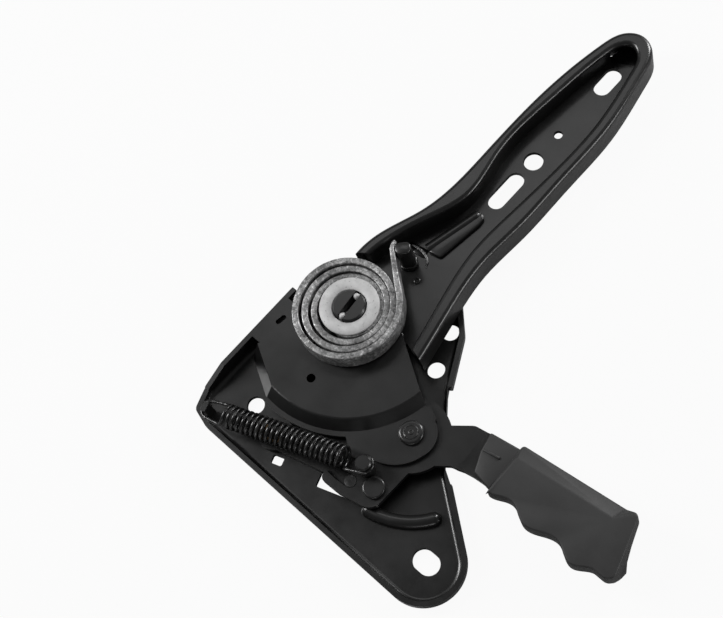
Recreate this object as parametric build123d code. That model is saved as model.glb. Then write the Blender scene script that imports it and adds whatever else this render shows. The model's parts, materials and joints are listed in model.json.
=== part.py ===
from build123d import *
from math import asin, atan2, cos, degrees, hypot, radians, sin
import os

# Chair recline adjuster for one side of a seat, lying on its back plate.
# The origin is on the main pivot axis at the back face of the base plate.
# +Z points out of the plate, +Y runs along the row of holes in the backrest arm,
# and +X points towards the hand lever. All lengths are millimetres.

# Sheet and plate thicknesses
base_sheet = 2.5
cover_sheet = 2.0
arm_sheet = 2.5
lever_sheet = 3.0
gear_plate = 3.6

# Clearances
turn_gap = 0.05
plate_gap = 0.3
seat_gap = 0.02

# Heights of the stacked plates above the back face
rim_top = 6.5
side_wall_top = 13.0
gear_z = 3.4
arm_z = gear_z + gear_plate
lever_z = arm_z + plate_gap
lobe_z = lever_z + lever_sheet + 0.4
cover_rise = 4.8
cover_z = lobe_z + cover_rise
cover_top = cover_z + cover_sheet

# Base plate outline
base_left = -37.0
base_low = -88.0
end_x, end_y, end_r = 106.5, -67.5, 20.5
rim_slope = 144.0
base_bend = 3.0

# Base plate holes
fix_hole_d = 9.0
fix_holes = [(-12.1, -63.5), (44.9, 7.4), (37.2, 26.4)]
base_slot_x, base_slot_y = 106.1, -66.0
base_slot_w = 11.0
base_slot_l = 14.5
window_x, window_y, window_turn = 46.6, -63.0, 19.0
window_l, window_w = 20.0, 16.0

# Main pivot
spindle_d = 16.6
shoulder_d = 20.0
hub_bush_wall = 2.0
hub_disc_r = 28.0

bush_outer_d = shoulder_d + 2 * turn_gap + 2 * hub_bush_wall

# Spiral spring
strip_t = 2.7
strip_h = 10.8
spiral_turns = 3.0
spiral_out_r = 27.2
spiral_pitch = 3.38
spiral_leave = 50.0
seat_washer_t = 1.1
top_washer_t = 1.5
top_washer_d = 31.0
shaft_slot_w = 3.2
shaft_slot_turn = 96.0

# Backrest arm
arm_top = 22.0
arm_row_x = 10.5
arm_hole_d = 10.0
arm_hole_y = 119.3
arm_slot_w = 9.0
arm_slot_1_y, arm_slot_1_l = 175.9, 17.0
arm_slot_2_y, arm_slot_2_l = 98.5, 23.0
nib_hole_y, nib_hole_d = 138.1, 4.5
anchor_x, anchor_y, anchor_d = -0.5, 38.8, 7.5

# Toothed sector and pawl
sector_r = 49.6
tooth_depth = 1.9
tooth_step = 4.0
sector_from, sector_to = -116.0, -44.0
mesh_gap = 0.35
pawl_x, pawl_y, pawl_r = 7.0, -67.5, 9.0
pawl_pin_d = 8.0
pawl_teeth_from, pawl_teeth_to = -66.0, -46.0
stop_r, stop_angle, stop_d = 36.5, -50.0, 7.0
recline_travel = 50.0

pad_r = sector_r + mesh_gap + tooth_depth
mesh_side = 0.15
pawl_bush_d = 11.0
stop_spare = 2.0
rivet_r, rivet_d = 21.5, 5.0
rivet_angles = (15, 75, 150)

# Arm pressing
rim_round = 2.2
rim_clear_r = 31.5
rib_l = 32.0
anchor_top = 30.0

# Hand lever
lever_hub_r = 19.0
tang_end = 140.0
stud_d = 6.0
stud_head_d = 11.0
grip_low, grip_high = 4.0, 23.0
grip_round = 1.5
grip_pin_x, grip_pin_y, grip_pin_d = 124.0, -9.0, 4.0
lever_x, lever_y = 61.4, -25.5
lever_pin_d = 8.0
lever_bush_d = 12.0
lever_head_d = 12.4
lever_travel = 20.0
pawl_travel = 6.0
follower_x, follower_y, follower_d = 54.0, -61.5, 6.0
follower_boss_r = 6.5
post_x, post_y, post_d = 56.8, -52.1, 8.0
stud_x, stud_y = 65.4, -56.7
joggle_x, joggle_run, joggle_rise = 89.5, 10.0, 5.5

# Pressed ridge that the lever tail slides along
guide_r, guide_w, guide_top = 40.9, 7.2, 6.6
guide_from, guide_to = -80.0, -34.0

# Cover pressing
dome_r, dome_foot_r, dome_lip_r = 51.7, 58.0, 60.5
cover_hub_r = 25.5
cover_edge_turn = -30.5
side_step_z = 12.4
side_seat_x = base_left + base_sheet
lobe_r = 12.6

# Places above the cover
spring_z = cover_top + seat_washer_t
washer_z = spring_z + strip_h - top_washer_t - 0.2
spindle_top = washer_z + top_washer_t + 1.6

# Return spring
hook_tab_w = 5.0
wire_d = 1.6
coil_d = 12.5
coil_turns = 24
coil_start, coil_end = 11.5, 9.5
left_hook_r = 4.6
hook_tab_x, hook_tab_y = -26.0, -81.5
hook_z_low, hook_z_high = 12.5, 19.5


def up(sketch, low, high):
    return extrude(Pos(0, 0, low) * sketch, high - low)


def disc(x, y, d):
    return Pos(x, y) * Circle(d / 2)


def round_bar(x, y, d, low, high):
    return up(disc(x, y, d), low, high)


def tube(x, y, outer_d, inner_d, low, high):
    return up(disc(x, y, outer_d) - disc(x, y, inner_d), low, high)


def polar(r, angle):
    return (r * cos(radians(angle)), r * sin(radians(angle)))


def slot(x, y, length, width, turn=0.0):
    return Pos(x, y) * Rot(0, 0, turn) * SlotOverall(length, width)


def fan(r, start, end):
    step = (end - start) / 2
    return make_face([
        Line((0, 0), polar(r, start)),
        ThreePointArc(polar(r, start), polar(r, start + step), polar(r, end)),
        Line(polar(r, end), (0, 0)),
    ])


def rounded(points, radii):
    sketch = make_face(Polyline(*points, close=True))
    for (x, y), r in zip(points, radii):
        if r > 0:
            corner = sketch.vertices().sort_by_distance((x, y, 0))[0]
            sketch = fillet(corner, r)
    return sketch


# Lines shared by the base plate and what seats on it
rim_dir = (cos(radians(rim_slope)), sin(radians(rim_slope)))
rim_normal = (sin(radians(rim_slope)), -cos(radians(rim_slope)))
rim_touch = (end_x + end_r * rim_normal[0], end_y + end_r * rim_normal[1])
flange_end = (86.8, rim_touch[1] + (rim_touch[0] - 86.8) * 0.7265)
ear_start = (59.0, 4.5)
spring_run = degrees(atan2(post_y - hook_tab_y, post_x - hook_tab_x))


def base_outline():
    corners = [
        (base_left, -8), (base_left, -74), (-33, -85), (-22, base_low),
        (end_x, base_low), (end_x, end_y), rim_touch, flange_end, ear_start,
        (45.5, 28.5), (27, 46), (-14, 36), (-33, 10),
    ]
    radii = [20, 10, 4, 8, 0, 0, 0, 3, 8, 12, 12, 18, 18]
    return rounded(corners, radii) + disc(end_x, end_y, 2 * end_r)


def lever_gap():
    inner = base_sheet + 0.3
    start = (flange_end[0] + 0.656 * -4 + inner * -0.755, flange_end[1] + 0.755 * 4 - inner * 0.656)
    end = (ear_start[0] + 0.656 * 3 - inner * 0.755, ear_start[1] - 0.755 * 3 - inner * 0.656)
    return make_face(Polyline(
        start, (flange_end[0] + 3.5, flange_end[1] - 3.5), (flange_end[0] + 30, flange_end[1] + 10),
        (ear_start[0] + 30, ear_start[1] + 12), (ear_start[0] + 6, ear_start[1] + 3.5),
        (ear_start[0] - 2.5, ear_start[1] - 0.5), end, close=True))


def ridge(mid_r, width, height, start, end, low):
    """A pressed ridge with a rounded top that follows an arc about the lever pivot."""
    half = width / 2
    section = make_face([
        Line((mid_r - half, low), (mid_r + half, low)),
        ThreePointArc((mid_r + half, low), (mid_r, low + height), (mid_r - half, low)),
    ])
    body = revolve(Plane.XZ * section, Axis.Z, end - start)
    body = Rot(0, 0, start) * body
    for angle in (start, end):
        x, y = polar(mid_r, angle)
        dome = revolve(Plane.XZ * make_face([
            Line((0, low), (half, low)),
            ThreePointArc((half, low), (half * 0.72, low + height * 0.7), (0, low + height)),
            Line((0, low + height), (0, low)),
        ]), Axis.Z)
        body += Pos(x, y) * dome
    return Pos(lever_x, lever_y) * body


def base_plate():
    outline = base_outline()
    inside = offset(outline, -base_sheet, kind=Kind.ARC)
    tray = up(outline, 0, rim_top)
    tray = fillet(tray.faces().sort_by(Axis.Z)[0].outer_wire().edges(), base_bend)
    wall = up(outline - inside, base_bend, side_wall_top)
    side = up(Pos(base_left, -41) * Rectangle(16, 66), 0, side_wall_top + 1)
    slope = extrude(Plane.YZ.offset(base_left - 10) * make_face(Polyline(
        (-60, side_wall_top), (-60, side_wall_top + 2), (-80, side_wall_top + 2), (-80, rim_top),
        (-76, rim_top), close=True)), 30)
    tray += (wall & side) - slope
    pocket = up(inside, base_sheet, side_wall_top + 1)
    pocket = fillet(pocket.faces().sort_by(Axis.Z)[0].outer_wire().edges(), base_bend - 0.6)
    plate = tray - pocket
    plate -= up(lever_gap(), -1, rim_top + 1)
    holes = disc(0, 0, spindle_d + 2 * seat_gap)
    for x, y in fix_holes:
        holes += disc(x, y, fix_hole_d)
    holes += slot(base_slot_x, base_slot_y, base_slot_l, base_slot_w)
    holes += Pos(window_x, window_y) * Rot(0, 0, window_turn) * RectangleRounded(window_l, window_w, 1.2)
    holes += Pos(16.3, -76.7) * Rot(0, 0, window_turn) * RectangleRounded(6, 4.5, 1)
    holes += disc(lever_x, lever_y, lever_pin_d + 2 * seat_gap)
    holes += disc(pawl_x, pawl_y, pawl_pin_d + 2 * seat_gap)
    holes += disc(*polar(stop_r, stop_angle), stop_d + 2 * seat_gap)
    plate -= up(holes, -1, base_sheet + 1)
    plate += ridge(guide_r, guide_w, guide_top - base_sheet, guide_from, guide_to, base_sheet)
    tab = Pos(hook_tab_x, hook_tab_y) * Rot(0, 0, spring_run + 90) * Rectangle(hook_tab_w, base_sheet)
    plate += up(tab, base_sheet - 1, hook_z_low + 3.0)
    return plate


def cover_plate():
    """One pressing: a fan-shaped dome, a side step, a foot wall and a lobe over the lever pivot."""
    top, low = cover_top, lobe_z
    run = dome_foot_r - dome_r
    profile = make_face(Polyline(
        (0, top - cover_sheet), (dome_r - 1.0, top - cover_sheet), (dome_foot_r - 1.0, low),
        (dome_lip_r, low), (dome_lip_r, low + cover_sheet), (dome_foot_r, low + cover_sheet),
        (dome_foot_r + 1.0 - run * 0.94, top), (0, top), close=True))
    dome = revolve(Plane.XZ * profile, Axis.Z)
    dome = fillet(dome.edges().filter_by(GeomType.CIRCLE).group_by(Axis.Z)[-1], 1.5)
    edge = (cos(radians(cover_edge_turn)), sin(radians(cover_edge_turn)))
    right_in, right_out = (24.1, 8.4), (24.1 + 46 * edge[0], 8.4 + 46 * edge[1])
    left_low = (-27.0, -40.2)
    left_foot = (left_low[0] - 24 * -0.883, left_low[1] - 24 * 0.47)
    region = make_face([
        Line(right_in, right_out), Line(right_out, (70, -70)), Line((70, -70), (-6.4, -70)),
        Line((-6.4, -70), (-6.4, left_foot[1] + 0.5)), Line((-6.4, left_foot[1] + 0.5), left_low),
        Line(left_low, (-24.0, -12)), ThreePointArc((-24.0, -12), polar(cover_hub_r, 110), right_in),
    ])
    cover = dome & up(region, 0, top + 1)
    foot_plane = Plane(origin=(*left_foot, 0), x_dir=(-0.47, -0.883, 0), z_dir=(-0.883, 0.47, 0))
    foot = extrude(foot_plane * make_face(Polyline(
        (-2, top), (-2, cover_z), (0.2, cover_z), (5.4, base_sheet), (7.4, base_sheet), (1.3, top),
        close=True)), 24)
    step = up(make_face(Polyline(
        (-26.6, -40), (-23.8, -14), (side_seat_x, -14), (side_seat_x, -40), close=True)),
        side_step_z, side_step_z + cover_sheet)
    riser = up(make_face(Polyline(
        (-27.6, -40), (-24.4, -12), (-22.4, -12), (-25.4, -40), close=True)), side_step_z, top)
    cover += foot + step + riser
    lobe = disc(lever_x, lever_y, 2 * lobe_r) + make_face([
        ThreePointArc((72.9, -31.0), (67.2, -40.8), (54.6, -47.3)),
        ThreePointArc((54.6, -47.3), (51.6, -48.6), (50.4, -51.2)),
        Line((50.4, -51.2), (46.4, -52.9)), Line((46.4, -52.9), (36.0, -46.0)),
        Line((36.0, -46.0), (50.0, -24.0)), Line((50.0, -24.0), (58.8, -9.5)),
        Line((58.8, -9.5), (65.5, -12.6)), Line((65.5, -12.6), (72.9, -31.0)),
    ])
    keep_out = Circle(dome_foot_r - 0.5)
    cover += up(lobe - keep_out, low, low + cover_sheet)
    holes = disc(0, 0, spindle_d + 2 * seat_gap) + disc(6.0, -37.2, 4.5)
    holes += slot(-28.6, -24.5, 6, 2.6, 80)
    cover -= up(holes, side_step_z - 1, top + 1)
    cover -= round_bar(lever_x, lever_y, lever_pin_d + 2 * seat_gap, low - 1, low + cover_sheet + 1)
    return cover


def main_spindle():
    shaft = round_bar(0, 0, spindle_d, 0, spindle_top)
    shaft = chamfer(shaft.edges().group_by(Axis.Z)[-1], 0.8)
    shaft += round_bar(0, 0, shoulder_d, base_sheet, cover_z)
    cut = Rot(0, 0, shaft_slot_turn) * Rectangle(spindle_d + 2, shaft_slot_w)
    return shaft - up(cut, spring_z, spindle_top + 1)


def hub_bush():
    bore = shoulder_d + 2 * turn_gap
    sleeve = tube(0, 0, bush_outer_d, bore, gear_z, cover_z - plate_gap)
    collar = tube(0, 0, bush_outer_d + 8, bush_outer_d - 1, arm_z + arm_sheet, arm_z + arm_sheet + 1.6)
    return sleeve + collar


def thrust_washer():
    return tube(0, 0, shoulder_d + 12, shoulder_d + 0.3, base_sheet, gear_z - 0.1)


def spring_seat_washer():
    return tube(0, 0, 26, spindle_d + 0.1, cover_top, spring_z - 0.1)


def spindle_washer():
    return tube(0, 0, top_washer_d, spindle_d + 0.1, washer_z, washer_z + top_washer_t)


def spiral_spring():
    """A flat strip wound outwards, anchored in the spindle slot and hooked round the anchor pin."""
    start = spiral_leave - 360 * spiral_turns
    half = strip_t / 2

    def turn_point(angle, side):
        r = spiral_out_r + spiral_pitch * (angle - spiral_leave) / 360 + side * half
        return polar(r, angle)

    def turn_curve(side):
        count = int(spiral_turns * 12)
        step = 360 * spiral_turns / count
        return Spline(*[turn_point(start + step * i, side) for i in range(count + 1)])

    outer, inner = turn_curve(1), turn_curve(-1)
    lead = (cos(radians(shaft_slot_turn)), sin(radians(shaft_slot_turn)))
    in_out, in_in = turn_point(start, 1), turn_point(start, -1)
    out_out, out_in = turn_point(spiral_leave, 1), turn_point(spiral_leave, -1)
    reach = anchor_d / 2 + 0.25
    tip_in = (anchor_x - reach, anchor_y + 0.5)
    tip_out = (tip_in[0] - strip_t * 0.8, tip_in[1])
    under = polar(reach, -125)
    under_out = polar(reach + strip_t * 0.9, -125)
    near = (anchor_x + under[0], anchor_y + under[1])
    far = (anchor_x + under_out[0], anchor_y + under_out[1])
    strip = make_face([
        inner, outer,
        Line(in_in, in_out),
        Line(out_out, (out_out[0] + (near[0] - out_out[0]) * 0.6, out_out[1] + (near[1] - out_out[1]) * 0.6)),
        Line((out_out[0] + (near[0] - out_out[0]) * 0.6, out_out[1] + (near[1] - out_out[1]) * 0.6), near),
        ThreePointArc(near, (anchor_x + polar(reach, -155)[0], anchor_y + polar(reach, -155)[1]), tip_in),
        Line(tip_in, tip_out),
        ThreePointArc(tip_out, (anchor_x + polar(reach + strip_t * 0.9, -155)[0],
                                anchor_y + polar(reach + strip_t * 0.9, -155)[1]), far),
        Line(far, out_in),
    ])
    spring = up(strip, spring_z, spring_z + strip_h)
    mid = turn_point(start, 0)
    slot_end = (lead[0] * -(spindle_d / 2 - 1), lead[1] * -(spindle_d / 2 - 1))
    throat = (lead[0] * (spindle_d / 2 + 2.5), lead[1] * (spindle_d / 2 + 2.5))
    inner_run = trace([Line(slot_end, throat), ThreePointArc(throat, polar(14.6, 75), mid)], shaft_slot_w - 0.5)
    spring += up(inner_run, spring_z, washer_z - 0.15)
    return spring


def closed(edge):
    return make_face([edge, Line(edge @ 1, edge @ 0)])


def beside(edge, shift):
    """The same curve moved sideways by the shift, to the right of its direction."""
    points = []
    for i in range(17):
        spot, run = edge @ (i / 16), edge % (i / 16)
        points.append((spot.X + run.Y * shift, spot.Y - run.X * shift))
    return Spline(*points)


def arm_outer_edge():
    return Spline(
        (-20.5, 20), (-19.5, 38), (-11.0, 62), (-7.4, 105), (-6.6, 150), (-1.3, 186), (3.3, 197.5),
        (12.0, 202.3), (21.6, 198.5), (26.6, 186), (32.8, 152), (33.5, 118), (33.8, 86), (32.6, 58),
        (36.5, 32), (42.6, 2.8))


def arm_channel_edge():
    return Spline(
        (-13.0, 10), (-12.8, 38), (-5.4, 59), (2.4, 82), (-1.4, 110), (-0.2, 148), (4.6, 184),
        (7.5, 191.5), (12.0, 194.4), (17.0, 192), (20.6, 183), (26.0, 152), (26.4, 118), (24.4, 86),
        (23.6, 62), (27.6, 37), (37.6, -10))


def arm_bracket():
    floor = arm_z + arm_sheet
    outline, channel = closed(arm_outer_edge()), closed(arm_channel_edge())
    rim = outline - channel
    bracket = up(outline + Circle(hub_disc_r), arm_z, floor)
    wall = up(rim, floor - 0.5, arm_top)
    top_edges = wall.edges().group_by(Axis.Z)[-1].filter_by(lambda e: e.length > 12)
    wall = fillet(top_edges, rim_round)
    wall -= round_bar(0, 0, 2 * rim_clear_r, floor, arm_top + 1)
    bracket += wall
    fold = closed(beside(arm_outer_edge(), arm_sheet)) - closed(beside(arm_channel_edge(), -arm_sheet))
    fold &= Pos(0, 120) * Rectangle(100, 190)
    bracket -= up(fold, arm_z - 1, arm_top - arm_sheet)
    holes = disc(0, 0, bush_outer_d + 2 * seat_gap) + disc(arm_row_x, arm_hole_y, arm_hole_d)
    holes += slot(arm_row_x, arm_slot_1_y, arm_slot_1_l, arm_slot_w, 90)
    holes += slot(arm_row_x, arm_slot_2_y, arm_slot_2_l, arm_slot_w, 90)
    holes += disc(arm_row_x, nib_hole_y, nib_hole_d) + disc(anchor_x, anchor_y, anchor_d + 2 * seat_gap)
    holes += Pos(-2.5, 47.0) * Rot(0, 0, 10) * RectangleRounded(11, 5, 0.8)
    for angle in rivet_angles:
        holes += disc(*polar(rivet_r, angle), rivet_d + 2 * seat_gap)
    bracket -= up(holes, arm_z - 1, floor + 1)
    rib = revolve(Plane.XY * make_face([
        Line((0, 0), (rib_l, 0)), ThreePointArc((rib_l, 0), (rib_l - 0.9, 2.1), (rib_l - 3, 3)),
        Line((rib_l - 3, 3), (0, 3)), Line((0, 3), (0, 0)),
    ]), Axis.X, 180)
    rib = Pos(1.4, 50.5, floor - 0.2) * Rot(0, 0, 76) * rib
    return bracket + rib


def spring_anchor_pin():
    pin = round_bar(anchor_x, anchor_y, anchor_d, arm_z, anchor_top)
    return chamfer(pin.edges().group_by(Axis.Z)[-1], 0.8)


def sector_plate():
    plate = Circle(hub_disc_r) + fan(sector_r, sector_from, sector_to)
    gap_half = tooth_step * 0.28
    inner = sector_r - tooth_depth
    count = int((sector_to - sector_from) / tooth_step)
    for i in range(count):
        angle = sector_from + tooth_step * (i + 0.5)
        plate -= make_face(Polyline(
            polar(inner, angle - gap_half * 0.5), polar(inner, angle + gap_half * 0.5),
            polar(sector_r + 1, angle + gap_half * 1.5), polar(sector_r + 1, angle - gap_half * 1.5),
            close=True))
    plate -= disc(0, 0, bush_outer_d + 2 * seat_gap)
    for angle in rivet_angles:
        plate -= disc(*polar(rivet_r, angle), rivet_d + 2 * seat_gap)
    sector = up(plate, gear_z, arm_z)
    start = stop_angle - recline_travel - stop_spare
    end = stop_angle + stop_spare
    reach = (stop_d + 0.8) / 2
    track = fan(stop_r + reach, start, end) - Circle(stop_r - reach)
    track += disc(*polar(stop_r, start), 2 * reach) + disc(*polar(stop_r, end), 2 * reach)
    return sector - up(track, gear_z - 1, arm_z + 1)


def sector_rivets():
    rivets = []
    for angle in rivet_angles:
        x, y = polar(rivet_r, angle)
        top = arm_z + arm_sheet
        rivet = round_bar(x, y, rivet_d, gear_z, top) + round_bar(x, y, rivet_d + 3.5, top, top + 1.8)
        rivets.append(fillet(rivet.edges().group_by(Axis.Z)[-1], 0.9))
    return Compound(rivets)


def stop_pin():
    x, y = polar(stop_r, stop_angle)
    return round_bar(x, y, stop_d, 0, gear_z) + round_bar(x, y, stop_d, gear_z, cover_z)


def lever_rivet():
    top = lobe_z + cover_sheet
    head = round_bar(lever_x, lever_y, lever_head_d, top, top + 2.2)
    head = fillet(head.edges().group_by(Axis.Z)[-1], 1.4)
    return head + round_bar(lever_x, lever_y, lever_pin_d, 0, top)


def lever_bush():
    return tube(lever_x, lever_y, lever_bush_d, lever_pin_d + 2 * seat_gap, base_sheet, lobe_z)


def lever_plate():
    low, high = lever_z, lever_z + lever_sheet
    hub = disc(lever_x, lever_y, 2 * lever_hub_r)
    arm = rounded([
        (62.0, -11.5), (69.0, -13.0), (81.5, -2.8), (90.0, -1.2), (tang_end, 0.6), (tang_end, -15.5),
        (108.5, -21.8), (93.5, -23.2), (86.2, -24.9), (70.0, -38.0), (60.0, -30.0),
    ], [0, 0, 6, 4, 3, 3, 3, 6, 5, 0, 0])
    tail = rounded([
        (50.0, -36.0), (38.5, -58.0), (42.0, -70.0), (54.0, -69.6), (72.2, -65.4), (72.8, -38.0),
    ], [0, 4, 3, 0, 7, 0])
    plan = hub + arm + tail
    side = make_face(Polyline(
        (lever_x - 40, low), (joggle_x, low), (joggle_x + joggle_run, low + joggle_rise),
        (tang_end + 5, low + joggle_rise), (tang_end + 5, high + joggle_rise),
        (joggle_x + joggle_run - 0.8, high + joggle_rise), (joggle_x - 0.8, high), (lever_x - 40, high),
        close=True))
    strip = extrude(Plane.XZ.offset(-20) * side, 110)
    plate = up(plan, low, high + joggle_rise) & strip
    holes = disc(lever_x, lever_y, lever_bush_d + 2 * turn_gap)
    holes += disc(post_x, post_y, post_d - 2 + 2 * seat_gap) + disc(stud_x, stud_y, stud_d + 2 * seat_gap)
    holes += disc(grip_pin_x, grip_pin_y, grip_pin_d + 2 * seat_gap)
    holes += cam_track()
    return plate - up(holes, low - 1, high + joggle_rise + 1)


def cam_track():
    """The path of the follower pin as seen from the lever, widened for the pin."""
    points = []
    for i in range(4):
        share = i / 3
        angle = radians(-pawl_travel * share)
        dx, dy = follower_x - pawl_x, follower_y - pawl_y
        x = pawl_x + dx * cos(angle) - dy * sin(angle)
        y = pawl_y + dx * sin(angle) + dy * cos(angle)
        turn = radians(-lever_travel * share)
        rx, ry = x - lever_x, y - lever_y
        points.append((lever_x + rx * cos(turn) - ry * sin(turn), lever_y + rx * sin(turn) + ry * cos(turn)))
    width = follower_d + 0.6
    path = trace(Spline(*points), width)
    return path + disc(*points[0], width) + disc(*points[-1], width)


def spring_post():
    low = lever_z + lever_sheet
    groove = hook_z_high
    post = round_bar(post_x, post_y, post_d - 2, lever_z, low)
    post += round_bar(post_x, post_y, post_d, low, groove - 1.6)
    post += round_bar(post_x, post_y, post_d - 1.6, groove - 1.6, groove + 1.6)
    post += round_bar(post_x, post_y, post_d, groove + 1.6, groove + 3.6)
    return chamfer(post.edges().group_by(Axis.Z)[-1], 0.6)


def tail_stud():
    low = lever_z + lever_sheet
    stud = round_bar(stud_x, stud_y, stud_d, lever_z, low) + round_bar(stud_x, stud_y, stud_head_d, low, low + 2.2)
    return fillet(stud.edges().group_by(Axis.Z)[-1], 0.8)


def grip_outline():
    finger_side = Spline(
        (109.4, -25.6), (117.0, -24.2), (124.0, -21.3), (130.5, -23.4), (137.5, -25.2), (145.5, -23.3),
        (152.0, -21.2), (157.5, -23.2), (163.5, -25.4), (169.5, -23.4), (174.5, -21.4), (183.0, -22.4))
    face = make_face([
        finger_side, Line((183.0, -22.4), (171.2, 13.0)), Line((171.2, 13.0), (107.2, 4.1)),
        Line((107.2, 4.1), (109.4, -25.6)),
    ])
    for x, y, r in ((183.0, -22.4, 4.5), (171.2, 13.0, 3.5), (107.2, 4.1, 2.5), (109.4, -25.6, 1.5)):
        face = fillet(face.vertices().sort_by_distance((x, y, 0))[0], r)
    return face


def lever_grip():
    outline = grip_outline()
    grip = up(outline, grip_low, grip_high)
    grip = fillet(grip.edges().group_by(Axis.Z)[0], grip_round)
    slope = extrude(Plane.YZ.offset(90) * make_face(Polyline(
        (-6.0, grip_high + 0.01), (20, grip_high + 0.01), (20, grip_high - 11), (6.5, grip_high - 7.5),
        close=True)), 110)
    grip -= Pos(0, -14.3) * Rot(0, 0, 7.6) * slope
    tang_low = lever_z + joggle_rise
    socket = make_face(Polyline(
        (100, 1.6), (tang_end + 0.3, 0.9), (tang_end + 0.3, -15.8), (108.5, -22.1), (100, -23), close=True))
    grip -= up(socket, tang_low - 0.1, tang_low + lever_sheet + 0.1)
    return grip - round_bar(grip_pin_x, grip_pin_y, grip_pin_d + 2 * seat_gap, grip_low - 1, grip_high + 1)


def grip_pin():
    return round_bar(grip_pin_x, grip_pin_y, grip_pin_d, grip_low + 2, grip_high - 1.5)


def pawl():
    body = make_face(Polyline(
        polar(pad_r, pawl_teeth_from - 2), (16.0, -58.0), (12.0, -59.9), (4.5, -75.9), (39.0, -66.6),
        (follower_x + 2.0, follower_y - 6.2), (follower_x + 6.4, follower_y + 3), (46.0, -48.0),
        polar(pad_r, pawl_teeth_to + 2), close=True))
    body += disc(pawl_x, pawl_y, 2 * pawl_r)
    body += disc(follower_x, follower_y, 2 * follower_boss_r)
    body -= Circle(pad_r)
    plate = body
    first = int((pawl_teeth_from - sector_from) / tooth_step)
    last = int((pawl_teeth_to - sector_from) / tooth_step)
    half = tooth_step * 0.28 - mesh_side
    for i in range(first, last + 1):
        angle = sector_from + tooth_step * (i + 0.5)
        plate += make_face(Polyline(
            polar(pad_r + 0.5, angle - half * 1.5), polar(pad_r + 0.5, angle + half * 1.5),
            polar(sector_r + mesh_gap, angle + half * 0.6), polar(sector_r + mesh_gap, angle - half * 0.6),
            close=True))
    plate -= disc(pawl_x, pawl_y, pawl_bush_d + 2 * seat_gap)
    plate -= disc(follower_x, follower_y, follower_d - 1 + 2 * seat_gap)
    return up(plate, gear_z, arm_z)


def pawl_bush():
    return tube(pawl_x, pawl_y, pawl_bush_d, pawl_pin_d + 2 * turn_gap, gear_z, arm_z)


def pawl_pin():
    pin = round_bar(pawl_x, pawl_y, pawl_pin_d, 0, arm_z + 0.1)
    return pin + round_bar(pawl_x, pawl_y, pawl_bush_d + 2, base_sheet, gear_z - 0.1)


def follower_pin():
    pin = round_bar(follower_x, follower_y, follower_d - 1, gear_z, arm_z)
    return pin + round_bar(follower_x, follower_y, follower_d, arm_z, lever_z + lever_sheet)


def return_spring():
    """A close coil with a round hook at each end, from the base tab to the post on the lever."""
    run = hypot(post_x - hook_tab_x, post_y - hook_tab_y)
    rise = hook_z_high - hook_z_low
    length = hypot(run, rise)
    mean_r = (coil_d - wire_d) / 2
    coil_l = length - coil_start - coil_end
    pitch = coil_l / coil_turns
    coil = Pos(coil_start, 0, 0) * Rot(0, 90, 0) * Helix(pitch, coil_l, mean_r)
    first, last = coil @ 0, coil @ 1
    left_r, right_r = left_hook_r, post_d / 2 - 0.8 + wire_d / 2 + 0.25
    left_open = Vector(*polar(left_r, 60), 0)
    right_open = Vector(length + polar(right_r, -120)[0], polar(right_r, -120)[1], 0)
    left_end = Vector(*polar(left_r, -30), 0)
    right_end = Vector(length + polar(right_r, 150)[0], polar(right_r, 150)[1], 0)
    left = ThreePointArc(left_end, Vector(*polar(left_r, 195), 0), left_open)
    right = ThreePointArc(right_open, Vector(length + polar(right_r, 15)[0], polar(right_r, 15)[1], 0), right_end)
    lead_in = Spline(left_open, first, tangents=[left % 1, coil % 0])
    lead_out = Spline(last, right_open, tangents=[coil % 1, right % 0])
    path = Wire([left, lead_in, coil, lead_out, right])
    section = Plane(origin=path @ 0, z_dir=path % 0) * Circle(wire_d / 2)
    wire = sweep(section, path=path, is_frenet=True)
    tilt = degrees(atan2(rise, run))
    return Pos(hook_tab_x, hook_tab_y, hook_z_low) * Rot(0, 0, spring_run) * Rot(0, -tilt, 0) * wire


nodes = {
    "base_plate": base_plate,
    "cover_plate": cover_plate,
    "main_spindle": main_spindle,
    "thrust_washer": thrust_washer,
    "spring_seat_washer": spring_seat_washer,
    "spindle_washer": spindle_washer,
    "spiral_spring": spiral_spring,
    "stop_pin": stop_pin,
    "lever_rivet": lever_rivet,
    "lever_bush": lever_bush,
    "pawl_pin": pawl_pin,
    "arm_bracket": arm_bracket,
    "sector_plate": sector_plate,
    "sector_rivets": sector_rivets,
    "hub_bush": hub_bush,
    "spring_anchor_pin": spring_anchor_pin,
    "lever_plate": lever_plate,
    "lever_grip": lever_grip,
    "grip_pin": grip_pin,
    "spring_post": spring_post,
    "tail_stud": tail_stud,
    "return_spring": return_spring,
    "pawl": pawl,
    "pawl_bush": pawl_bush,
    "follower_pin": follower_pin,
}

if __name__ == "__main__":
    os.makedirs("parts", exist_ok=True)
    for name, build in nodes.items():
        export_step(build(), f"parts/{name}.step")
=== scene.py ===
import json
import math
import random

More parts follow.
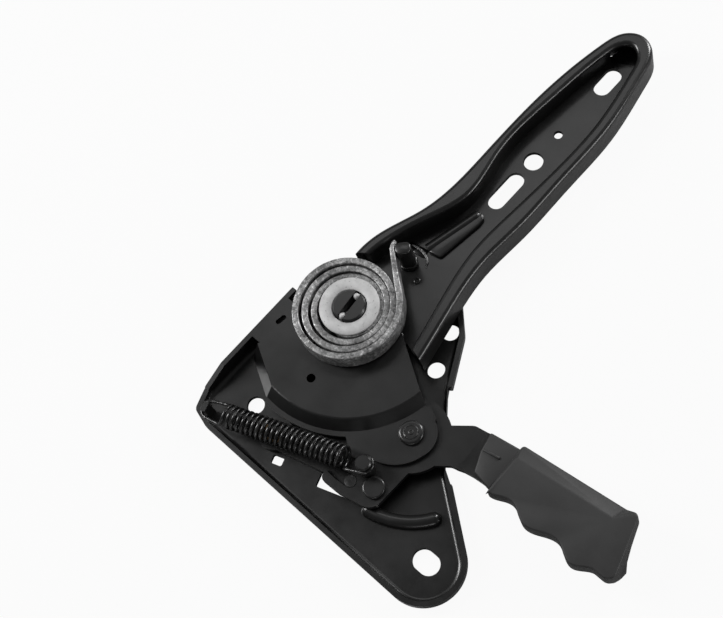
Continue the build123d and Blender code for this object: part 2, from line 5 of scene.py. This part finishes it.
import bmesh
import bpy
from mathutils import Matrix, Vector
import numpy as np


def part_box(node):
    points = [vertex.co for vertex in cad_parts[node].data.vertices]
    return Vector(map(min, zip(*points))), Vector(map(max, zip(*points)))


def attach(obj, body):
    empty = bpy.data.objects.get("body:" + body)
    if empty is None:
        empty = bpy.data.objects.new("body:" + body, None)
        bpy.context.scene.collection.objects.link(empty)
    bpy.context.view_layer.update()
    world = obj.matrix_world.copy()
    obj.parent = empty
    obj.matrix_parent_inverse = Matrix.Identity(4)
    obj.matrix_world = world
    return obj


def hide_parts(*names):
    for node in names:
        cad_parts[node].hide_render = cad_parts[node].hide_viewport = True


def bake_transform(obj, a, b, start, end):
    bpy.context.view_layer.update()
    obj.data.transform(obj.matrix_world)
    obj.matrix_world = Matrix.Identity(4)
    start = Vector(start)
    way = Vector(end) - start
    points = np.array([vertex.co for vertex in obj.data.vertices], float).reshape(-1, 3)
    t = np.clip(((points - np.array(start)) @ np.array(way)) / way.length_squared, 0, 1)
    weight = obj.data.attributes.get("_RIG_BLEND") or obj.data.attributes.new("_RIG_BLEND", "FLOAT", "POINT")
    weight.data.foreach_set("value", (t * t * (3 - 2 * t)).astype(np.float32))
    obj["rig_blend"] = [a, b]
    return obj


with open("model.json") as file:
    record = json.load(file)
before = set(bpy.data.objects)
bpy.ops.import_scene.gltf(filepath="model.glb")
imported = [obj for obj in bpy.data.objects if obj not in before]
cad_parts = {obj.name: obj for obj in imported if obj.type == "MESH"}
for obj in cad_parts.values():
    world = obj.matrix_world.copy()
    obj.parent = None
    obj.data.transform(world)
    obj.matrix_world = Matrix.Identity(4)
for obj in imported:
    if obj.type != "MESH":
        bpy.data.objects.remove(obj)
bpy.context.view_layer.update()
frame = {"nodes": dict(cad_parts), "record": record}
nodes = frame["nodes"]
scene = bpy.context.scene
scene.view_settings.view_transform = "Standard"

# Camera at the photograph's viewing angle. RIGHT, UP and BACK are the picture's own directions.
RIGHT = Vector((0.71051, 0.67561, -0.19680))
UP = Vector((-0.58279, 0.72170, 0.37350))
BACK = Vector((0.39437, -0.15068, 0.90651))
CAMERA_AT = Vector((0.33792, -0.12420, 0.79300))
SENSOR_MM = 36.0
PHOTO_WIDTH_PX, FOCAL_LENGTH_PX = 723.0, 1750.0


def turned(right, up, back, at):
    """The matrix of an object with these three axes, at this place."""
    m = Matrix((right, up, back)).transposed().to_4x4()
    m.translation = at
    return m


camera_data = bpy.data.cameras.new("camera")
camera_data.sensor_width = SENSOR_MM
camera_data.lens = SENSOR_MM * FOCAL_LENGTH_PX / PHOTO_WIDTH_PX
camera_data.clip_end = 20.0
camera = bpy.data.objects.new("camera", camera_data)
camera.matrix_world = turned(RIGHT, UP, BACK, CAMERA_AT)
scene.collection.objects.link(camera)
scene.camera = camera


# Materials
class Shader:
    """A principled material and the few node helpers that the finishes share."""

    def __init__(self, name, rough, metal=0.0, coat=0.0, coat_rough=0.1, specular=0.5):
        self.mat = bpy.data.materials.new(name)
        self.mat.use_nodes = True
        self.tree = self.mat.node_tree
        self.out = self.tree.nodes["Material Output"]
        self.bsdf = self.tree.nodes["Principled BSDF"]
        self.set(self.bsdf, "Roughness", rough)
        self.set(self.bsdf, "Metallic", metal)
        self.set(self.bsdf, "Coat Weight", coat)
        self.set(self.bsdf, "Coat Roughness", coat_rough)
        self.set(self.bsdf, "Specular IOR Level", specular)
        self.place = self.tree.nodes.new("ShaderNodeTexCoord").outputs["Object"]

    def set(self, node, socket, value):
        node.inputs[socket].default_value = value

    def link(self, a, b):
        self.tree.links.new(a, b)

    def noise(self, scale, detail, rough=0.5, warp=0.0):
        node = self.tree.nodes.new("ShaderNodeTexNoise")
        self.set(node, "Scale", scale)
        self.set(node, "Detail", detail)
        self.set(node, "Roughness", rough)
        self.set(node, "Distortion", warp)
        self.link(self.place, node.inputs["Vector"])
        return node.outputs["Fac"]

    def ramp(self, value, *stops):
        """Turns a value into a grey, or a colour, that runs through the stops."""
        node = self.tree.nodes.new("ShaderNodeValToRGB")
        points = node.color_ramp.elements
        while len(points) < len(stops):
            points.new(0.5)
        for point, (at, colour) in zip(points, stops):
            point.position = at
            grey = isinstance(colour, float)
            point.color = (colour, colour, colour, 1.0) if grey else (*colour, 1.0)
        self.link(value, node.inputs["Fac"])
        return node.outputs["Color"]

    def times(self, a, b):
        """The product of two colours. Inputs 6 and 7 and output 2 are the node's colour sockets."""
        node = self.tree.nodes.new("ShaderNodeMix")
        node.data_type = "RGBA"
        node.blend_type = "MULTIPLY"
        self.set(node, 0, 1.0)
        self.link(a, node.inputs[6])
        self.link(b, node.inputs[7])
        return node.outputs[2]

    def spread(self, value, low, high):
        """Stretches the middle of a noise over the range from low to high."""
        node = self.tree.nodes.new("ShaderNodeMapRange")
        self.set(node, "From Min", 0.3)
        self.set(node, "From Max", 0.7)
        self.set(node, "To Min", low)
        self.set(node, "To Max", high)
        self.link(value, node.inputs["Value"])
        return node.outputs["Result"]

    def join(self, value, socket):
        self.link(value, self.bsdf.inputs[socket])

    def bump(self, value, height_mm, strength):
        node = self.tree.nodes.new("ShaderNodeBump")
        self.set(node, "Strength", strength)
        self.set(node, "Distance", height_mm / 1000)
        self.link(value, node.inputs["Height"])
        self.join(node.outputs["Normal"], "Normal")
        return self


def black_paint():
    s = Shader("black_paint", 0.3, coat=0.5, coat_rough=0.16, specular=0.4)
    s.join(s.ramp(s.noise(34, 4, 0.6), (0.3, 0.0035), (0.7, 0.0065)), "Base Color")
    s.join(s.spread(s.noise(60, 5, 0.65), 0.3, 0.45), "Roughness")
    return s.bump(s.noise(420, 3), 0.02, 0.35)


def bright_zinc():
    s = Shader("bright_zinc", 0.6, metal=0.25)
    speck = s.ramp(s.noise(900, 3, 0.6), (0.28, 0.25), (0.36, 1.0))
    tone = s.ramp(s.noise(160, 5, 0.65), (0.3, 0.40), (0.7, 0.53))
    s.join(s.times(tone, speck), "Base Color")
    s.join(s.spread(s.noise(90, 4), 0.55, 0.7), "Roughness")
    return s.bump(s.noise(900, 2), 0.015, 0.3)


def spring_steel():
    s = Shader("spring_steel", 0.45, metal=0.65)
    fleck = s.noise(620, 6, 0.75, warp=0.8)
    cloud = s.ramp(s.noise(90, 4, 0.6), (0.38, 0.5), (0.62, 1.0))
    tone = s.ramp(fleck, (0.34, 0.07), (0.46, 0.24), (0.56, 0.40), (0.66, 0.85))
    s.join(s.times(tone, cloud), "Base Color")
    s.join(s.spread(s.noise(240, 4, 0.6), 0.32, 0.6), "Roughness")
    return s.bump(fleck, 0.06, 0.6)


def spring_wire():
    s = Shader("spring_wire", 0.28, metal=0.85)
    s.join(s.ramp(s.noise(420, 5, 0.65), (0.32, 0.02), (0.55, 0.06), (0.7, 0.16)), "Base Color")
    s.join(s.spread(s.noise(200, 3), 0.2, 0.36), "Roughness")
    return s.bump(s.noise(900, 2), 0.012, 0.35)


def plain_steel():
    s = Shader("plain_steel", 0.36, metal=0.8)
    s.join(s.ramp(s.noise(260, 5, 0.65), (0.3, 0.02), (0.55, 0.045), (0.72, 0.14)), "Base Color")
    s.join(s.spread(s.noise(150, 4), 0.28, 0.46), "Roughness")
    return s.bump(s.noise(600, 4), 0.03, 0.4)


def bush_bronze():
    s = Shader("bush_bronze", 0.45, metal=0.8)
    dark, light = (0.20, 0.12, 0.05), (0.38, 0.25, 0.12)
    s.join(s.ramp(s.noise(400, 5, 0.7), (0.3, dark), (0.7, light)), "Base Color")
    s.join(s.spread(s.noise(300, 4), 0.38, 0.55), "Roughness")
    return s.bump(s.noise(900, 3), 0.02, 0.4)


def grip_plastic():
    s = Shader("grip_plastic", 0.55, specular=0.45)
    s.join(s.ramp(s.noise(40, 4, 0.6), (0.3, 0.021), (0.7, 0.029)), "Base Color")
    s.join(s.spread(s.noise(120, 4, 0.6), 0.48, 0.62), "Roughness")
    return s.bump(s.noise(1500, 2), 0.03, 0.35)


finishes = {f.__name__: f().mat for f in (
    black_paint, bright_zinc, spring_steel, spring_wire, plain_steel, bush_bronze, grip_plastic)}

for part in frame["record"]["subparts"]:
    slots = nodes[part["node"]].data.materials
    if len(slots) == 0:
        slots.append(None)
    for i in range(len(slots)):
        slots[i] = finishes[part["material_slot"]]


# Mesh helpers. Sizes below are millimetres, in the solids' own axes, and become metres in piece().
MM = 0.001
Z = Vector((0, 0, 1))
SHARP = 0.35


def polar(r, angle, z=0.0):
    """The point at a radius and an angle in degrees."""
    return Vector((r * math.cos(math.radians(angle)), r * math.sin(math.radians(angle)), z))


def arc(r, start, sweep_angle, count):
    """Points along a flat arc, with both ends."""
    return [polar(r, start + sweep_angle * k / count) for k in range(count + 1)]


def piece(name, mesh_data, finish, body=None, replaces=()):
    """Makes a smooth-shaded object from plain lists and gives it its finish and its body."""
    verts, faces = mesh_data
    mesh = bpy.data.meshes.new(name)
    mesh.from_pydata([v * MM for v in verts], [], faces)
    mesh.validate()
    for face in mesh.polygons:
        face.use_smooth = True
    mesh.materials.append(finishes[finish])
    obj = bpy.data.objects.new(name, mesh)
    scene.collection.objects.link(obj)
    if body:
        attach(obj, body)
    if replaces:
        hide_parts(*replaces)
    return obj


def sweep(path, ring_at):
    """Carries a ring of (across, rise) offsets along a path; the ring may change from point to point."""
    verts, faces = [], []
    rise = Z
    for i, spot in enumerate(path):
        run = (path[min(i + 1, len(path) - 1)] - path[max(i - 1, 0)]).normalized()
        rise = (rise - run * rise.dot(run)).normalized()
        across = run.cross(rise)
        verts += [spot + across * a + rise * b for a, b in ring_at(i)]
    n = len(verts) // len(path)
    for i in range(len(path) - 1):
        for k in range(n):
            m = (k + 1) % n
            faces.append((i * n + k, i * n + m, (i + 1) * n + m, (i + 1) * n + k))
    faces.append(tuple(range(n)))
    faces.append(tuple(len(verts) - 1 - k for k in range(n)))
    return verts, faces


def curve(p0, t0, p1, t1, count, pull=1.0):
    """Points on a smooth curve from p0 to p1 with the given directions, without its first point."""
    reach = (p1 - p0).length * pull
    points = []
    for i in range(1, count + 1):
        t = i / count
        points.append(p0 * (2 * t**3 - 3 * t**2 + 1) + t0 * reach * (t**3 - 2 * t**2 + t)
                      + p1 * (3 * t**2 - 2 * t**3) + t1 * reach * (t**3 - t**2))
    return points


def rounded_bar(width, low, high, r, steps=3):
    """A ring round a rectangle from low to high, with rounded corners."""
    ring = []
    for cx, cy, start in ((width / 2 - r, high - r, 0), (r - width / 2, high - r, 90),
                          (r - width / 2, low + r, 180), (width / 2 - r, low + r, 270)):
        for corner in arc(r, start, 90, steps):
            ring.append((cx + corner.x, cy + corner.y))
    return ring


def rounded_corner(before, corner, after, r, steps=5):
    """Points of an arc that rounds a corner between two straight runs."""
    c = Vector((*corner, 0))
    a = (Vector((*before, 0)) - c).normalized()
    b = (Vector((*after, 0)) - c).normalized()
    half = a.angle(b) / 2
    centre = c + (a + b).normalized() * (r / math.sin(half))
    first = (c + a * (r / math.tan(half)) - centre).normalized()
    last = (c + b * (r / math.tan(half)) - centre).normalized()
    return [tuple((centre + first.slerp(last, k / steps) * r)[:2]) for k in range(steps + 1)]


def rounded_edges(bm, bevel, segments, above=-1.0):
    """Rounds every sharp edge that lies above a height, and gives the mesh as plain lists."""
    bmesh.ops.recalc_face_normals(bm, faces=bm.faces[:])
    sharp = [e for e in bm.edges if len(e.link_faces) == 2 and e.calc_face_angle() > SHARP
             and min(v.co.z for v in e.verts) > above]
    bmesh.ops.bevel(bm, geom=sharp, offset=bevel, segments=segments, profile=0.5, affect="EDGES",
                    clamp_overlap=True)
    bm.verts.index_update()
    verts = [v.co.copy() for v in bm.verts]
    faces = [tuple(v.index for v in f.verts) for f in bm.faces]
    bm.free()
    return verts, faces


def prism(outline, low, high, bevel, segments):
    """A closed upright solid from an outline, with every sharp edge rounded."""
    bm = bmesh.new()
    face = bm.faces.new([bm.verts.new((x, y, low)) for x, y in outline])
    grown = bmesh.ops.extrude_face_region(bm, geom=[face])["geom"]
    bmesh.ops.translate(bm, verts=[g for g in grown if isinstance(g, bmesh.types.BMVert)],
                        vec=(0, 0, high - low))
    return rounded_edges(bm, bevel, segments)


def revolved(profile, at, steps=48):
    """A ring turned from a closed profile of (radius, height) points."""
    n = len(profile)
    verts = [at + polar(r, 360 * k / steps, z) for k in range(steps) for r, z in profile]
    faces = []
    for k in range(steps):
        here, there = k * n, (k + 1) % steps * n
        for i in range(n):
            m = (i + 1) % n
            faces.append((here + i, here + m, there + m, there + i))
    return verts, faces


def joined(*parts):
    """Several meshes as one."""
    verts, faces = [], []
    for more_verts, more_faces in parts:
        start = len(verts)
        verts += more_verts
        faces += [tuple(i + start for i in f) for f in more_faces]
    return verts, faces


def top_of(node):
    """The height of a solid's top, in millimetres."""
    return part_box(node)[1][2] / MM


def set_shares(obj, share_at):
    """Replaces the straight blend by one that follows the spring's own run."""
    values = obj.data.attributes["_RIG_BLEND"].data
    for vertex, value in zip(obj.data.vertices, values):
        value.value = share_at(vertex.index, vertex.co / MM)


# Spiral spring: a flat strip from the spindle's slot, round three turns, to the anchor pin.
# LEAVE is where the strip leaves its outer turn. LEAN is how far that turn sits off centre.
STRIP_T, STRIP_LOW, STRIP_HIGH = 3.2, 18.7, 28.4
STRIP_EDGE_R = 0.5
SLOT_THINNING, HOOK_THINNING = 0.12, 0.35
OUTER_LIFT = 1.3
TURNS, OUT_R, PITCH, LEAVE = 3.24, 27.2, 3.95, 58.0
LEAN, LEAN_TURN = 2.4, -148.0
SPINDLE_R, THROAT_GAP = 8.3, 1.3
SLOT_TURN, SLOT_BEND_R, SLOT_DROP = 96.0, 3.4, 3.5
ANCHOR, ANCHOR_R = Vector((-0.5, 38.8, 0)), 3.75
HOOK_GAP, HOOK_FROM, HOOK_SWEEP = 0.3, -128, -58


def spiral_path():
    """Out of the spindle's slot, round the turns, and on to the hook round the anchor."""
    start = LEAVE - 360 * TURNS

    def spot(angle):
        share = (angle - start) / (LEAVE - start)
        return polar(OUT_R + PITCH * (angle - LEAVE) / 360, angle) + polar(LEAN * share, LEAN_TURN)

    out = polar(1, SLOT_TURN + 180)
    left = Z.cross(out)
    throat = out * (SPINDLE_R + THROAT_GAP)
    path = [out * r for r in (-5.0, 0.0, 6.0)] + [throat]
    for k in range(1, 9):
        angle = math.radians((180 - SLOT_TURN) * k / 8)
        path.append(throat + left * SLOT_BEND_R * (1 - math.cos(angle))
                    + out * SLOT_BEND_R * math.sin(angle))
    path += curve(path[-1], Vector((1, 0, 0)), spot(start), polar(1, start + 90), 10)
    count = int(TURNS * 60)
    path += [spot(start + (LEAVE - start) * k / count) for k in range(1, count + 1)]
    hook_r = ANCHOR_R + HOOK_GAP + STRIP_T / 2 * 0.8
    hook = [ANCHOR + p for p in arc(hook_r, HOOK_FROM, HOOK_SWEEP, 9)]
    path += curve(path[-1], (path[-1] - path[-2]).normalized(), hook[0], polar(1, HOOK_FROM - 90), 10, 0.9)
    return path + hook[1:]


def spiral_spring():
    """The strip is thinner and lower in the slot, thins towards its hook, and its outer turns lift."""
    slot_run, hook_run = 14, 26
    path = spiral_path()
    lengths = [0.0]
    for a, b in zip(path, path[1:]):
        lengths.append(lengths[-1] + (b - a).length)
    whole = lengths[-1]
    dice = random.Random(5)

    def ring_at(i):
        in_slot = max(0.0, 1 - lengths[i] / slot_run)
        at_hook = max(0.0, 1 - (whole - lengths[i]) / hook_run)
        thinning = (SLOT_THINNING if in_slot > 0 else 0) + HOOK_THINNING * at_hook
        width = STRIP_T * (1 - thinning)
        lift = OUTER_LIFT * min(1.0, max(0.0, lengths[i] / whole * 1.5 - 0.35))
        high = STRIP_HIGH + lift - SLOT_DROP * min(1, in_slot * 2) + dice.uniform(-0.07, 0.07)
        return rounded_bar(width + dice.uniform(-0.06, 0.06), STRIP_LOW, high, STRIP_EDGE_R)

    data = sweep(path, ring_at)
    obj = piece("spiral_spring_strip", data, "spring_steel", replaces=["spiral_spring"])
    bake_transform(obj, "base", "arm", start=(0, 0, 0.02), end=(-0.0005, 0.0388, 0.02))
    ring = len(data[0]) // len(path)
    set_shares(obj, lambda index, at: lengths[index // ring] / whole)


# Return coil: a U-shaped end on the base tab, the turns, and a hook round the lever's post.
# COIL_FROM and COIL_TO are how far the turns stay from the tab and from the post.
WIRE_R, WIRE_SIDES = 0.85, 10
COIL_R, COIL_TURNS, STEPS_PER_TURN = 5.4, 24, 20
COIL_FROM, COIL_TO, EASE = 9.6, 9.8, 3.2
TAB = Vector((-26.0, -81.5, 12.5))
TAB_REACH = 2.4
POST = Vector((56.8, -52.1, 19.5))
LEVER = Vector((61.4, -25.5, 0))
LOOP_R, POST_HOOK_R = 4.5, 4.25


def coil_path():
    """The wire's points, with the coil's own start, direction and length."""
    flat = Vector((POST.x - TAB.x, POST.y - TAB.y, 0)).normalized()
    begin = TAB + flat * TAB_REACH
    along = (POST - begin).normalized()
    side = Z.cross(along).normalized()
    rise = along.cross(side)
    length = (POST - begin).length

    def at(x, y, z=0.0):
        return begin + along * x + side * y + rise * z

    def turn(share):
        angle = math.radians(360 * COIL_TURNS * share - 90)
        x = COIL_FROM + (length - COIL_TO - COIL_FROM) * share
        return at(x, COIL_R * math.sin(angle), COIL_R * math.cos(angle))

    free_end = [at(COIL_FROM - 1.2, 5.2), at(COIL_FROM - 4, 5.0)]
    path = free_end + [at(p.x, p.y) for p in arc(LOOP_R, 95, 170, 14)]
    path.append(at(COIL_FROM - EASE, -COIL_R))
    count = COIL_TURNS * STEPS_PER_TURN
    first, last = 3, count - 3
    into = (turn((first + 1) / count) - turn(first / count)).normalized()
    path += curve(path[-1], along, turn(first / count), into, 6, 0.8)
    path += [turn(k / count) for k in range(first + 1, last + 1)]
    out = (path[-1] - path[-2]).normalized()
    leg = at(length - COIL_TO + EASE, -COIL_R + 0.3)
    path += curve(path[-1], out, leg, along, 6, 0.8)
    path += [at(length + p.x, p.y) for p in arc(POST_HOOK_R, -78, 210, 16)]
    return path, begin, along, length


def return_coil():
    """The drawn coil, which stretches as the lever's post swings about the lever's pivot."""
    path, begin, along, length = coil_path()
    ring = [(p.x, p.y) for p in arc(WIRE_R, 0, 360, WIRE_SIDES)[:-1]]
    obj = piece("return_coil", sweep(path, lambda i: ring), "spring_wire", replaces=["return_spring"])
    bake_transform(obj, "base", "lever", start=tuple(TAB * MM), end=tuple(POST * MM))
    post_reach = (Vector((POST.x, POST.y, 0)) - LEVER).length
    hook_from, hook_to = 0.9, 0.97

    def share(index, at):
        t = min(1.0, max(0.0, (at - begin).dot(along) / length))
        if t > hook_to:
            return 1.0
        if t > hook_from:
            return hook_from + (1 - hook_from) * (t - hook_from) / (hook_to - hook_from)
        reach = (Vector((at.x, at.y, 0)) - LEVER).length
        return t * post_reach / reach

    set_shares(obj, share)


# Hand grip: finger hollows on one side, a sloped face on the other, and a flat neck over the tang.
# GRIP_ROUND gives each height's share of the full width, from the underside up to the wall.
GRIP_LOW, GRIP_HIGH = 7.2, 22.6
GRIP_ROUND = [(GRIP_LOW, 0.5), (7.5, 0.68), (8.6, 0.82), (10.6, 0.93), (13.5, 1.0)]
SWELLS = [(110.8, -24.7), (134.3, -25.6), (161.2, -25.6)]
HOLLOWS = [(122.4, -21.0), (149.6, -21.0), (172.4, -20.7)]
HEEL, TIP, NOSE = (107.6, 3.6), (170.8, 11.8), (182.4, -20.9)
MIDDLE_AT, MIDDLE_SLANT = (108, -10.6), 0.081
RIDGE_FAR, RIDGE_NEAR = Vector((162.5, 3.03, GRIP_HIGH)), Vector((110.6, -3.7, GRIP_HIGH))
SLOPE_END, SLOPE_FALL, SIDE_SLANT = (163.6, 10.87), 0.68, 0.1297


def finger_side():
    """A wave through the swells and hollows, in order along the grip."""
    stops = [p for pair in zip(SWELLS, HOLLOWS) for p in pair]
    points = []
    for (x0, y0), (x1, y1) in zip(stops, stops[1:]):
        for k in range(12):
            t = k / 12
            points.append((x0 + (x1 - x0) * t, y0 + (y1 - y0) * (1 - math.cos(math.pi * t)) / 2))
    return points


def grip_layer(outline, z, share):
    """The outline drawn in towards the grip's middle line."""
    layer = []
    for x, y in outline:
        middle = MIDDLE_AT[1] + (x - MIDDLE_AT[0]) * MIDDLE_SLANT
        layer.append(Vector((x, middle + (y - middle) * share, z)))
    return layer


def slope_height(x, y):
    """The height of the sloped face, which falls from the ridge to the straight side."""
    return GRIP_HIGH - SLOPE_FALL * max(0.0, y - RIDGE_NEAR.y - SIDE_SLANT * (x - RIDGE_NEAR.x))


def grip_body():
    """Layers that widen from the underside, with a flat top that a sloped face cuts on one side."""
    front = finger_side()
    front += rounded_corner(HOLLOWS[-1], NOSE, TIP, 4.2, 8)
    front += rounded_corner(NOSE, TIP, HEEL, 3.0)
    outline = front + [SLOPE_END] + rounded_corner(TIP, HEEL, SWELLS[0], 1.6)
    bm = bmesh.new()
    rings = [[bm.verts.new(v) for v in grip_layer(outline, z, share)] for z, share in GRIP_ROUND]
    top = [bm.verts.new((x, y, GRIP_HIGH if k < len(front) else slope_height(x, y)))
           for k, (x, y) in enumerate(outline)]
    rings.append(top)
    n = len(outline)
    for low, high in zip(rings, rings[1:]):
        for k in range(n):
            bm.faces.new((low[k], low[(k + 1) % n], high[(k + 1) % n], high[k]))
    far, near = bm.verts.new(RIDGE_FAR), bm.verts.new(RIDGE_NEAR)
    bm.faces.new(rings[0][::-1])
    bm.faces.new(top[:len(front)] + [far, near])
    bm.faces.new((far, top[len(front) - 1], top[len(front)]))
    bm.faces.new([near, far] + top[len(front):])
    bm.faces.new((top[-1], top[0], near))
    return rounded_edges(bm, 1.2, 3, above=14.0)


def hand_grip():
    """The grip's body, its flat neck and the small rib on the neck."""
    neck = prism([(91.6, -1.6), (94.0, -11.6), (98.4, -21.0), (109.5, -22.6), (109.5, 1.5)],
                 11.6, 17.4, 0.9, 3)
    rib = prism([(94.6, -10.9), (103.8, -9.2), (103.5, -7.9), (94.4, -9.6)], 16.8, 18.2, 0.45, 2)
    piece("hand_grip", joined(grip_body(), neck, rib), "grip_plastic", "lever", ["lever_grip"])


# Small parts on top
def zinc_washer():
    """The light washer that lies on the spring's inner turns."""
    hole, rim = 8.6, 15.0
    low, high = STRIP_HIGH + 0.1, STRIP_HIGH + 1.3
    profile = [(hole + 0.1, low), (rim - 0.3, low), (rim, low + 0.3), (rim, high - 0.3),
               (rim - 0.25, high), (hole + 0.3, high), (hole, high - 0.25), (hole, low + 0.2)]
    piece("top_washer", revolved(profile, Vector(), 72), "bright_zinc", "base", ["spindle_washer"])


def anchor_block():
    """An upright block with cut corners, on a wider foot."""
    block_turn, cut = 48, 1.6

    def block(width, depth, low, high, bevel):
        x, y = width / 2, depth / 2
        quarter = [(x, y - cut), (x - cut, y), (cut - x, y), (-x, y - cut)]
        corners = quarter + [(-a, -b) for a, b in quarter]
        outline = [polar(math.hypot(a, b), math.degrees(math.atan2(b, a)) + block_turn) + ANCHOR
                   for a, b in corners]
        return prism([(p.x, p.y) for p in outline], low, high, bevel, 2)

    piece("anchor_block", joined(block(8.0, 6.2, 9.6, 29.6, 0.7), block(9.0, 7.6, 9.4, 12.5, 0.8)),
          "black_paint", "arm", ["spring_anchor_pin"])


def spindle_marks():
    """Two peened marks at the ends of the slot, where bare metal shows."""
    dice = random.Random(11)
    high = top_of("main_spindle")
    n = 14
    marks = []
    for x, y in ((-0.7, 6.0), (0.7, -6.0)):
        verts, faces = [Vector((x, y, high - 0.05))], []
        for ring, lift in ((0.6, -0.15), (1.2, -0.45), (1.7, -1.4)):
            for k in range(n):
                r = ring * dice.uniform(0.8, 1.2)
                verts.append(Vector((x, y, high + lift * dice.uniform(0.7, 1.3))) + polar(r, 360 * k / n))
        for k in range(n):
            m = (k + 1) % n
            faces.append((0, 1 + k, 1 + m))
            for inner in (1, 1 + n):
                outer = inner + n
                faces.append((inner + k, outer + k, outer + m, inner + m))
        marks.append((verts, faces))
    piece("spindle_marks", joined(*marks), "bright_zinc", "base")


def rivet_rings():
    """The ring and dimple that the riveting tool leaves on the lever's pivot."""
    high = top_of("lever_rivet")
    sunk = high - 0.3
    outer = [(3.0, sunk), (3.9, sunk), (3.8, high + 0.12), (3.45, high + 0.22), (3.1, high + 0.12)]
    inner = [(0.5, sunk), (1.5, sunk), (1.4, high + 0.15), (1.0, high + 0.25), (0.6, high + 0.1)]
    piece("rivet_rings", joined(revolved(outer, LEVER), revolved(inner, LEVER, 24)), "plain_steel", "base")


# Details of the arm
def arm_floor():
    """Sheet that closes the arm's floor at its tip and under the lanced tongue."""
    tip = [(1.8, 184.9), (2.8, 190.6), (5.8, 197.4), (11.8, 201.0), (18.6, 198.0), (23.2, 190.6),
           (24.0, 184.9)]
    tongue = [(-8.4, 43.9), (3.4, 46.0), (2.6, 50.9), (-9.2, 48.8)]
    piece("arm_floor", joined(prism(tip, 7.2, 9.42, 0.15, 1), prism(tongue, 7.2, 8.3, 0.15, 1)),
          "black_paint", "arm")


def arm_details():
    """The broad rib and a small burred hole."""
    rib = prism([(3.0, 49.0), (2.4, 56.0), (6.3, 78.5), (8.2, 81.3), (10.8, 81.6), (13.2, 79.6),
                 (13.6, 76.0), (10.2, 50.5)], 9.0, 11.6, 1.9, 4)
    lip = [(1.0, 9.3), (2.0, 9.3), (1.8, 9.9), (1.4, 10.1), (1.1, 9.9)]
    burr = revolved(lip, Vector((8.6, 34.5, 0)), 20)
    piece("arm_details", joined(rib, burr), "black_paint", "arm")


def torn_edge():
    """Bare, rough metal along the edge of the lanced tongue."""
    dice = random.Random(3)
    line = [Vector((-6.6, 47.2, 9.9)), Vector((-2.4, 47.7, 10.2)), Vector((1.8, 47.3, 10.4)),
            Vector((5.4, 45.6, 10.3)), Vector((7.4, 42.4, 9.9))]
    path = [line[0]]
    for i in range(len(line) - 1):
        before, after = line[max(i - 1, 0)], line[min(i + 2, len(line) - 1)]
        path += curve(line[i], (line[i + 1] - before).normalized(), line[i + 1],
                      (after - line[i]).normalized(), 8)
    path = [p + Vector((dice.uniform(-0.12, 0.12), dice.uniform(-0.12, 0.12), dice.uniform(-0.1, 0.1)))
            for p in path]

    def ring_at(i):
        size = 0.25 + 0.75 * math.sin(math.pi * i / (len(path) - 1)) ** 0.5
        return rounded_bar(1.3 * size * dice.uniform(0.8, 1.2), -0.9 * size, 0.5 * size, 0.2 * size, 2)

    piece("torn_edge", sweep(path, ring_at), "spring_steel", "arm")


spiral_spring()
return_coil()
hand_grip()
zinc_washer()
anchor_block()
spindle_marks()
rivet_rings()
arm_floor()
arm_details()
torn_edge()

# Stage: a white floor that keeps the shadow, and a dim white surround
FLOOR_HALF, FLOOR_Z = 3.0, -0.0004
FLOOR_WHITE = 0.94
SURROUND = 0.12


def stage_floor():
    """To the camera the floor is nearly all white light; the rest of its shader takes the shadow."""
    s = Shader("white_floor", 0.9, specular=0.0)
    s.join(s.ramp(s.noise(3, 2), (0.3, 0.40), (0.7, 0.44)), "Base Color")
    path = s.tree.nodes.new("ShaderNodeLightPath")
    share = s.tree.nodes.new("ShaderNodeMath")
    share.operation = "MULTIPLY"
    s.set(share, 1, FLOOR_WHITE)
    s.link(path.outputs["Is Camera Ray"], share.inputs[0])
    glow = s.tree.nodes.new("ShaderNodeEmission")
    s.set(glow, "Color", (1, 1, 1, 1))
    s.set(glow, "Strength", 1.0)
    both = s.tree.nodes.new("ShaderNodeMixShader")
    s.link(share.outputs[0], both.inputs[0])
    s.link(s.bsdf.outputs[0], both.inputs[1])
    s.link(glow.outputs[0], both.inputs[2])
    s.link(both.outputs[0], s.out.inputs["Surface"])
    mesh = bpy.data.meshes.new("floor")
    corners = [(x * FLOOR_HALF, y * FLOOR_HALF, FLOOR_Z) for x, y in ((-1, -1), (1, -1), (1, 1), (-1, 1))]
    mesh.from_pydata(corners, [], [(0, 1, 2, 3)])
    mesh.materials.append(s.mat)
    floor = bpy.data.objects.new("floor", mesh)
    scene.collection.objects.link(floor)


stage_floor()

world = bpy.data.worlds.new("surround")
world.use_nodes = True
surround = world.node_tree.nodes["Background"]
surround.inputs["Color"].default_value = (1, 1, 1, 1)
surround.inputs["Strength"].default_value = SURROUND
scene.world = world

LAMPS_AIM = Vector((0.045, 0.02, 0.01))


def lamp(name, right, up, back, size, size_y, watts):
    """A soft lamp placed by how far it is to the right, up and towards the camera, in metres."""
    at = LAMPS_AIM + RIGHT * right + UP * up + BACK * back
    data = bpy.data.lights.new(name, "AREA")
    data.shape = "RECTANGLE"
    data.size = size
    data.size_y = size_y
    data.energy = watts
    obj = bpy.data.objects.new(name, data)
    facing = (at - LAMPS_AIM).normalized()
    side = UP.cross(facing).normalized()
    obj.matrix_world = turned(side, facing.cross(side), facing, at)
    scene.collection.objects.link(obj)


lamp("key", -0.95, 0.42, 0.35, 0.7, 0.3, 10.0)
lamp("fill", 0.95, -0.15, 0.5, 0.3, 0.6, 4.0)
lamp("top", 0.55, 0.85, 0.25, 0.6, 0.2, 8.0)
lamp("low", -0.2, -0.95, 0.35, 0.7, 0.15, 1.5)
lamp("sky", -0.285, 0.97, 0.72, 0.6, 0.4, 1.0)
